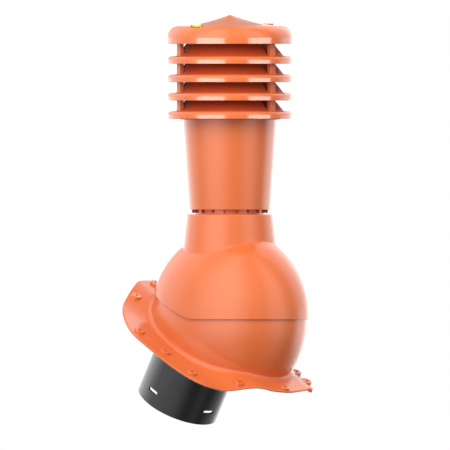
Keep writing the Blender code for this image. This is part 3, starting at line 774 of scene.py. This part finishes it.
ring_plate = RING_LIP + RING_ROUND - RING_WALL
plate_top = ring_plate + RING_WALL
round_centre = RING_RADIUS - RING_ROUND
inner_round = RING_ROUND - RING_WALL
lip_section = [(PLATE_INSIDE, plate_top)]
lip_section += arc_points(round_centre, RING_LIP, RING_ROUND, RING_ROUND, 8)
lip_section += [(RING_RADIUS, LIP_EASE), (RING_RADIUS - LIP_EASE, 0),
                (RING_RADIUS - RING_WALL, 0)]
lip_section += reversed(arc_points(round_centre, RING_LIP, inner_round, inner_round, 4))
lip_section += [(PLATE_INSIDE, ring_plate)]
skirt_run = SKIRT_RISE / math.tan(SKIRT_SLOPE)
skirt_across = SKIRT_WALL / math.sin(SKIRT_SLOPE)
skirt_root = SKIRT_FOOT_RADIUS + SKIRT_SINK / math.tan(SKIRT_SLOPE)
skirt_section = [
    (SKIRT_FOOT_RADIUS - skirt_run, plate_top + SKIRT_RISE),
    (skirt_root, plate_top - SKIRT_SINK),
    (skirt_root - skirt_across, plate_top - SKIRT_SINK),
    (SKIRT_FOOT_RADIUS - skirt_run - skirt_across, plate_top + SKIRT_RISE),
]
LIP_PLASTIC = moulded_plastic(
    "brick plastic of the lips", BRICK_ORANGE, BRICK_SHADE, gloss=0.10, grain_depth=0.00001)
POST_PLASTIC = moulded_plastic(
    "brick plastic of the posts", BRICK_ORANGE, BRICK_SHADE, gloss=0.45, grain_depth=0.00002)
for index in range(RING_COUNT):
    foot = RING_SEAT + SEAT_GAP - ring_plate + index * RING_PITCH
    node = "louvre_ring_%d" % (index + 1)
    lip = turned(lip_section, 160)
    bmesh.ops.transform(lip, matrix=around_pipe(0, 0, foot), verts=lip.verts)
    skirts = copies(turned(skirt_section, 48, math.radians(120) - SKIRT_GAP), [
        around_pipe(angle + SKIRT_GAP / 2, 0, foot) for angle in POST_ANGLES])
    posts = copies(grooved_post(RING_PITCH - SEAT_GAP), [
        around_pipe(angle, POST_RADIUS, foot + ring_plate) for angle in POST_ANGLES])
    # The skirts take the darker plastic with painted shade.
    for name, shape, material in (("lip", lip, LIP_PLASTIC), ("skirts", skirts, PAINTED_SHADE_PLASTIC),
                                  ("posts", posts, POST_PLASTIC)):
        piece = new_piece("ring_%d_%s" % (index + 1, name), shape, material)
        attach(piece, "head")
        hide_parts(node)


# Rain cap
#
# The moulded lid over the louvres, with a rounded shoulder, a hollow-sided point that sheds
# rain, and three posts below. Two trays in the shoulder hold the spirit levels.

CAP_RADIUS = 0.0933
CAP_WALL = 0.003
CAP_LIP = 0.0060
CAP_LIP_DROP = 0.0066
SHOULDER_WIDTH = 0.0164
SHOULDER_HEIGHT = 0.0202
CONE_RISE = 0.0164
CONE_POWER = 1.75
TIP_PINHOLE = 0.0006
TIP_DROP = 0.0001
CAP_POST_FOOT = RING_SEAT + SEAT_GAP + RING_COUNT * RING_PITCH
CAP_FOOT = CAP_POST_FOOT - CAP_LIP_DROP
LEVEL_PLACES = {"left": (math.radians(-81.0), 0), "right": (math.radians(93.0), 0.0020)}
LEVEL_RADIUS = 0.0790
TRAY_LENGTH = 0.0200
TRAY_WIDTH = 0.0080
TRAY_TOP = 0.0016
TRAY_FLOOR = 0.0022
TRAY_END = 0.0022

cap_crown = CAP_RADIUS - SHOULDER_WIDTH
cap_shoulder = CAP_LIP + SHOULDER_HEIGHT


def cone_level(radius):
    """Height of the point's surface, from the cap's foot."""
    return cap_shoulder + CONE_RISE * max(0, 1 - radius / cap_crown) ** CONE_POWER


def shoulder_level(radius):
    """Height of the rounded shoulder's surface, from the cap's foot."""
    reach = min(max(radius - cap_crown, 0) / SHOULDER_WIDTH, 1)
    return CAP_LIP + SHOULDER_HEIGHT * math.sqrt(1 - reach * reach)


cone_radii = [cap_crown * (step / 24) for step in range(1, 24)]
cap_section = [(TIP_PINHOLE, cone_level(TIP_PINHOLE) - TIP_DROP)]
cap_section += [(radius, cone_level(radius)) for radius in cone_radii]
cap_section += arc_points(cap_crown, CAP_LIP, SHOULDER_WIDTH, SHOULDER_HEIGHT, 20)
cap_section += [(CAP_RADIUS, LIP_EASE), (CAP_RADIUS - LIP_EASE, 0), (CAP_RADIUS - CAP_WALL, 0)]
cap_section += reversed(arc_points(
    cap_crown, CAP_LIP, SHOULDER_WIDTH - CAP_WALL, SHOULDER_HEIGHT - CAP_WALL, 10))
cap_section += [(radius, cone_level(radius) - CAP_WALL) for radius in reversed(cone_radii)]
cap_section += [(TIP_PINHOLE, cone_level(TIP_PINHOLE) - CAP_WALL)]
shape = turned(cap_section, 160)
bmesh.ops.transform(shape, matrix=around_pipe(0, 0, CAP_FOOT), verts=shape.verts)
cap = new_piece("rain_cap", shape, LIP_PLASTIC)
tray_level = shoulder_level(LEVEL_RADIUS)
tray_height = TRAY_TOP + TRAY_FLOOR + CAP_WALL
tray = rounded_block((TRAY_WIDTH, TRAY_LENGTH, tray_height), 0.0005)
cut_or_join(cap, "UNION", copies(tray, [
    around_pipe(angle, LEVEL_RADIUS, CAP_FOOT + tray_level + lift + TRAY_TOP - tray_height / 2)
    for angle, lift in LEVEL_PLACES.values()]))
recess = rounded_block((TRAY_WIDTH + TRAY_END, TRAY_LENGTH - 2 * TRAY_END,
                        2 * (TRAY_TOP + TRAY_FLOOR)), 0.0003)
cut_or_join(cap, "DIFFERENCE", copies(recess, [
    around_pipe(angle, LEVEL_RADIUS + TRAY_END, CAP_FOOT + tray_level + lift + TRAY_TOP)
    for angle, lift in LEVEL_PLACES.values()]))
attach(cap, "head")
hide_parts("cap")

post_reach = POST_RADIUS + POST_DEPTH / 2
cap_post_height = shoulder_level(post_reach) - CAP_WALL / 2 - CAP_LIP_DROP
cap_posts = new_piece("cap_posts", copies(grooved_post(cap_post_height), [
    around_pipe(angle, POST_RADIUS, CAP_POST_FOOT) for angle in POST_ANGLES]), POST_PLASTIC)
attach(cap_posts, "head")
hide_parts("cap")


# Spirit levels
#
# Two plastic vials of yellow-green liquid lie in the cap's trays at right angles to a radius.
# The white bubble stands between two black rings when the pipe is upright. It comes a little
# out of the liquid, because the liquid isn't clear here.

VIAL_LENGTH = 0.0144
VIAL_RADIUS = 0.0022
VIAL_PINHOLE = 0.0001
VIAL_RISE = 0.0026
VIAL_LIQUID = (0.60, 0.84, 0.07, 1)
LINE_PLACES = (-0.0036, 0.0036)
LINE_HALF_WIDTH = 0.0002
LINE_SINK = 0.0003
LINE_RELIEF = 0.00005
BUBBLE_RISE = 0.0008
BUBBLE_SIZE = (0.0021, 0.0016, 0.0031)


def plain_gloss(name, color, roughness):
    """A smooth glossy finish whose colour drifts a little along the piece."""
    material = bpy.data.materials.new(name)
    material.use_nodes = True
    nodes, links = material.node_tree.nodes, material.node_tree.links
    shader = nodes["Principled BSDF"]
    shader.inputs["Roughness"].default_value = roughness
    place = nodes.new("ShaderNodeTexCoord")
    cloud = nodes.new("ShaderNodeTexNoise")
    cloud.inputs["Scale"].default_value = 300
    tone = nodes.new("ShaderNodeValToRGB")
    tone.color_ramp.elements[0].color = [0.8 * part for part in color[:3]] + [1]
    tone.color_ramp.elements[1].color = color
    links.new(place.outputs["Object"], cloud.inputs["Vector"])
    links.new(cloud.outputs["Fac"], tone.inputs["Fac"])
    links.new(tone.outputs["Color"], shader.inputs["Base Color"])
    return material


LIQUID = plain_gloss("yellow-green level liquid", VIAL_LIQUID, 0.05)
BUBBLE = plain_gloss("level bubble", (0.93, 0.96, 0.90, 1), 0.05)
VIAL_LINE = plain_gloss("black level line", (0.02, 0.02, 0.02, 1), 0.30)

vial_section = eased([
    (VIAL_PINHOLE, VIAL_LENGTH / 2, 0), (VIAL_RADIUS, VIAL_LENGTH / 2, 0.0008),
    (VIAL_RADIUS, -VIAL_LENGTH / 2, 0.0008), (VIAL_PINHOLE, -VIAL_LENGTH / 2, 0),
])
line_section = [
    (VIAL_RADIUS - LINE_SINK, LINE_HALF_WIDTH), (VIAL_RADIUS + LINE_RELIEF, LINE_HALF_WIDTH),
    (VIAL_RADIUS + LINE_RELIEF, -LINE_HALF_WIDTH), (VIAL_RADIUS - LINE_SINK, -LINE_HALF_WIDTH),
]
for side, (angle, lift) in LEVEL_PLACES.items():
    node = "level_vial_" + side
    vial_level = CAP_FOOT + tray_level + lift - TRAY_FLOOR + VIAL_RISE
    vial_frame = around_pipe(angle, LEVEL_RADIUS + TRAY_END / 2, vial_level) @ lay_down
    vial = turned(vial_section, 32)
    bmesh.ops.transform(vial, matrix=vial_frame, verts=vial.verts)
    lines = copies(turned(line_section, 32), [
        vial_frame @ Matrix.Translation((0, 0, place)) for place in LINE_PLACES])
    bubble = bmesh.new()
    bmesh.ops.create_uvsphere(bubble, u_segments=24, v_segments=12, radius=1)
    bubble_frame = vial_frame @ Matrix.Translation((0, BUBBLE_RISE, 0))
    bmesh.ops.transform(bubble, matrix=bubble_frame @ Matrix.Diagonal((*BUBBLE_SIZE, 1)),
                        verts=bubble.verts)
    for name, shape, material in (("liquid", vial, LIQUID), ("lines", lines, VIAL_LINE),
                                  ("bubble", bubble, BUBBLE)):
        piece = new_piece("%s_level_%s" % (side, name), shape, material)
        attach(piece, "head")
        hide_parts(node)


# Floor
#
# A pale studio floor a little way under the spigot. It isn't part of the vent. It glows so
# that it looks white, but neither lights the vent nor shows in its gloss.

FLOOR_LEVEL = -0.141
FLOOR_SIZE = 3
FLOOR_GLOW = 0.42

floor_shape = bmesh.new()
bmesh.ops.create_grid(floor_shape, x_segments=4, y_segments=4, size=FLOOR_SIZE,
                      matrix=Matrix.Translation((0, 0, FLOOR_LEVEL)))
pale_floor = plain_gloss("pale floor", (0.85, 0.85, 0.85, 1), 0.6)
floor_shader = pale_floor.node_tree.nodes["Principled BSDF"]
floor_shader.inputs["Emission Color"].default_value = (1, 1, 1, 1)
floor_shader.inputs["Emission Strength"].default_value = FLOOR_GLOW
floor = new_piece("floor", floor_shape, pale_floor)
floor.visible_glossy = False
floor.visible_diffuse = False


# Light
#
# A large soft key light above the camera, and a long low softbox on either side of it that
# lights only the cap and the ring lips, for the pale stripes on them. The room behind is
# white, and its soft panels show in the gloss of the round pieces.

VIEW_WAY = Vector((0.719, -0.695, 0))
VIEW_RIGHT = Vector((0.695, 0.719, 0))
TARGET = Vector((-0.0050, -0.0052, 0.1935))


def softbox(name, side, height, distance, size, power):
    """An area light facing the vent, so many degrees to the right of the camera."""
    turn = math.radians(side)
    way = VIEW_WAY * math.cos(turn) + VIEW_RIGHT * math.sin(turn)
    data = bpy.data.lights.new(name, "AREA")
    data.shape = "RECTANGLE"
    data.size, data.size_y = size
    data.energy = power
    light = bpy.data.objects.new(name, data)
    light.location = TARGET + way * distance + Vector((0, 0, height))
    light.rotation_mode = "QUATERNION"
    light.rotation_quaternion = (light.location - TARGET).to_track_quat("Z", "Y")
    bpy.context.scene.collection.objects.link(light)
    return light


key = softbox("key light", side=-6, height=0.95, distance=1.2, size=(1.2, 1.2), power=21)
key.visible_glossy = False
left_strip = softbox(
    "left strip", side=-35, height=0.27, distance=1.5, size=(1.45, 0.60), power=21)
right_strip = softbox(
    "right strip", side=56, height=0.27, distance=1.5, size=(1.22, 0.60), power=18)
upright_pieces = bpy.data.collections.new("upright pieces")
for piece in bpy.context.scene.collection.objects:
    if piece.name.endswith("_lip") or piece.name == "rain_cap":
        upright_pieces.objects.link(piece)
for strip in (left_strip, right_strip):
    strip.visible_diffuse = False
    strip.light_linking.receiver_collection = upright_pieces

# Brightness of the room's panels by degrees to the right of the camera, and the share of it at
# each height, from straight down (-1) to straight up (1). A second set stands behind the vent.
# The gloss shows them at full brightness, and DIFFUSE_SHARE of it lights the plastic's colour.

AZIMUTH_GLOW = [
    (-180, 0.5), (-168, 1.0), (-135, 2.0), (-105, 1.9), (-82, 1.2), (-70, 2.0), (-55, 3.0),
    (-40, 3.5), (-25, 3.2), (-10, 2.1), (2, 1.0), (24, 0.9), (38, 1.9), (50, 2.5), (62, 2.4),
    (75, 1.2), (88, 0.7), (97, 0.9), (110, 1.9), (125, 2.2), (160, 2.2), (170, 1.2), (180, 0.5),
]
REAR_GLOW = [(-180, 2.2), (-150, 1.0), (-120, 0.6), (-95, 0), (97, 0), (116, 1.2), (135, 0.6),
             (160, 0.8), (180, 2.2)]
HEIGHT_SHARE = [(-1, 0.1), (-0.5, 0.35), (-0.1, 1.0), (0.6, 1.0), (0.9, 0.8), (1, 0.6)]
REAR_SHARE = [(-1, 0), (-0.55, 0), (-0.3, 1), (0.02, 1), (0.16, 0), (1, 0)]
GLOW_SCALE = 4
DIFFUSE_SHARE = 0.54

world = bpy.data.worlds.new("white studio")
world.use_nodes = True
world.cycles.sampling_method = "NONE"
nodes, links = world.node_tree.nodes, world.node_tree.links
nodes.clear()


def grey_ramp(stops):
    """A ramp from (place 0 to 1, brightness) stops."""
    node = nodes.new("ShaderNodeValToRGB")
    ramp = node.color_ramp
    ramp.interpolation = "EASE"
    while len(ramp.elements) < len(stops):
        ramp.elements.new(0.5)
    for element, (place, level) in zip(ramp.elements, stops):
        element.position = place
        element.color = (level, level, level, 1)
    return node


direction = nodes.new("ShaderNodeTexCoord")
face_camera = nodes.new("ShaderNodeMapping")
face_camera.inputs["Rotation"].default_value = (0, 0, -math.atan2(VIEW_WAY.y, VIEW_WAY.x))
links.new(direction.outputs["Generated"], face_camera.inputs["Vector"])
azimuth = nodes.new("ShaderNodeTexGradient")
azimuth.gradient_type = "RADIAL"
links.new(face_camera.outputs["Vector"], azimuth.inputs["Vector"])
panels = grey_ramp([(0.5 + turn / 360, level / GLOW_SCALE) for turn, level in AZIMUTH_GLOW])
links.new(azimuth.outputs["Fac"], panels.inputs["Fac"])
split = nodes.new("ShaderNodeSeparateXYZ")
links.new(direction.outputs["Generated"], split.inputs["Vector"])
height = nodes.new("ShaderNodeMapRange")
height.inputs["From Min"].default_value = -1
links.new(split.outputs["Z"], height.inputs["Value"])
share = grey_ramp([((place + 1) / 2, level) for place, level in HEIGHT_SHARE])
rear_panels = grey_ramp([(0.5 + turn / 360, level / GLOW_SCALE) for turn, level in REAR_GLOW])
rear_share = grey_ramp([((place + 1) / 2, level) for place, level in REAR_SHARE])
links.new(azimuth.outputs["Fac"], rear_panels.inputs["Fac"])
links.new(height.outputs["Result"], share.inputs["Fac"])
links.new(height.outputs["Result"], rear_share.inputs["Fac"])
rear = nodes.new("ShaderNodeVectorMath")
rear.operation = "MULTIPLY"
links.new(rear_panels.outputs["Color"], rear.inputs[0])
links.new(rear_share.outputs["Color"], rear.inputs[1])
studio = nodes.new("ShaderNodeVectorMath")
studio.operation = "MULTIPLY_ADD"
links.new(panels.outputs["Color"], studio.inputs[0])
links.new(share.outputs["Color"], studio.inputs[1])
links.new(rear.outputs["Vector"], studio.inputs[2])
seen = nodes.new("ShaderNodeLightPath")
strength = nodes.new("ShaderNodeMath")
strength.operation = "MULTIPLY_ADD"
strength.inputs[1].default_value = GLOW_SCALE * (DIFFUSE_SHARE - 1)
strength.inputs[2].default_value = GLOW_SCALE
links.new(seen.outputs["Is Diffuse Ray"], strength.inputs[0])
glow = nodes.new("ShaderNodeBackground")
links.new(strength.outputs["Value"], glow.inputs["Strength"])
links.new(studio.outputs["Vector"], glow.inputs["Color"])
backdrop = nodes.new("ShaderNodeBackground")
backdrop.inputs["Color"].default_value = (1, 1, 1, 1)
choose = nodes.new("ShaderNodeMixShader")
links.new(seen.outputs["Is Camera Ray"], choose.inputs["Fac"])
links.new(glow.outputs["Background"], choose.inputs[1])
links.new(backdrop.outputs["Background"], choose.inputs[2])
world_out = nodes.new("ShaderNodeOutputWorld")
links.new(choose.outputs["Shader"], world_out.inputs["Surface"])
bpy.context.scene.world = world
bpy.context.scene.view_settings.view_transform = "Standard"


# Camera
#
# A level product view without perspective, at the photograph's angle.

VIEW_WIDTH = 0.6588
CAMERA_DISTANCE = 4

camera_data = bpy.data.cameras.new("camera")
camera_data.type = "ORTHO"
camera_data.ortho_scale = VIEW_WIDTH
camera = bpy.data.objects.new("camera", camera_data)
camera.location = TARGET + VIEW_WAY * CAMERA_DISTANCE
camera.rotation_mode = "QUATERNION"
camera.rotation_quaternion = VIEW_WAY.to_track_quat("Z", "Y")
bpy.context.scene.collection.objects.link(camera)
bpy.context.scene.camera = camera
